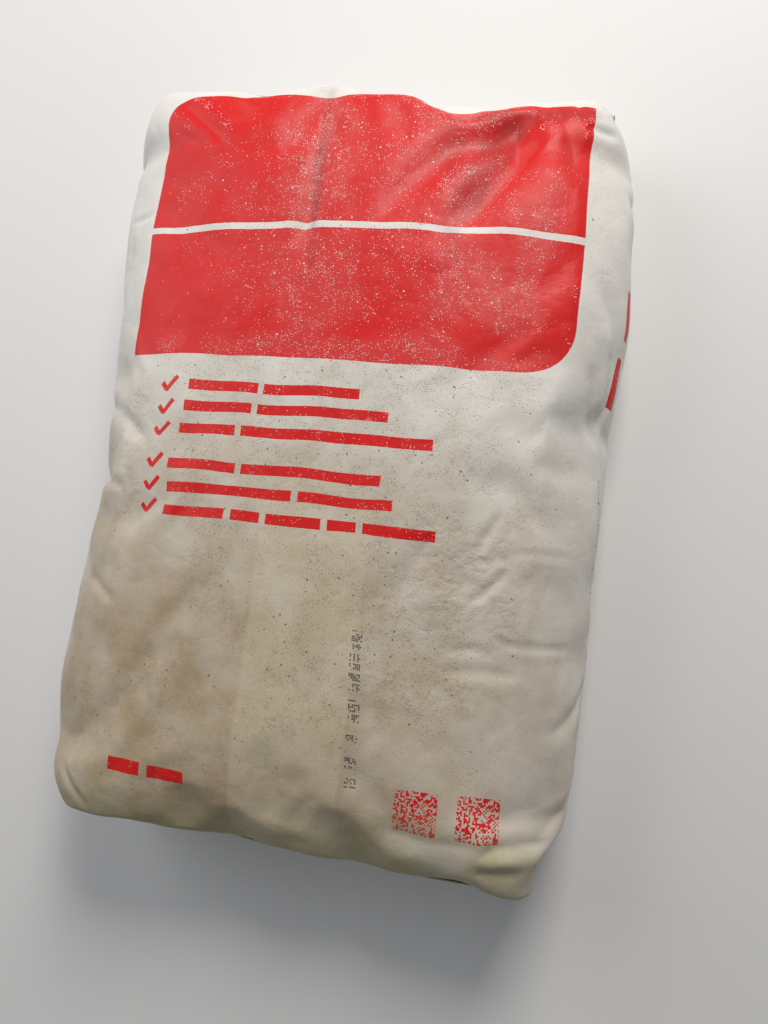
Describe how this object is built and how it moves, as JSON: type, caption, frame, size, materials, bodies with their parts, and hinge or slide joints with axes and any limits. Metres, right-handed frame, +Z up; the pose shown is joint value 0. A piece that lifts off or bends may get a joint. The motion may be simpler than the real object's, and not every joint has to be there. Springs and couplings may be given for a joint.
{
  "type": "cement bag",
  "caption": "Filled white paper valve sack of cement with red print, block ends and glued end papers, lying on its back face.",
  "frame": {"origin": "centre of the sack's footprint, on the floor it lies on", "axes": "+Z up out of the printed front, +Y along the sack towards the valve end, +X across it towards the valve corner's side"},
  "size_m": [0.3952, 0.535, 0.115],
  "materials": {
    "sack_paper": "coated semi-gloss white with red print",
    "end_paper": "matt white"
  },
  "bodies": {
    "root": {"cement_sack": "sack_paper", "valve_end_patch": "end_paper", "base_end_patch": "end_paper", "valve_sleeve": "end_paper"}
  },
  "joints": []
}
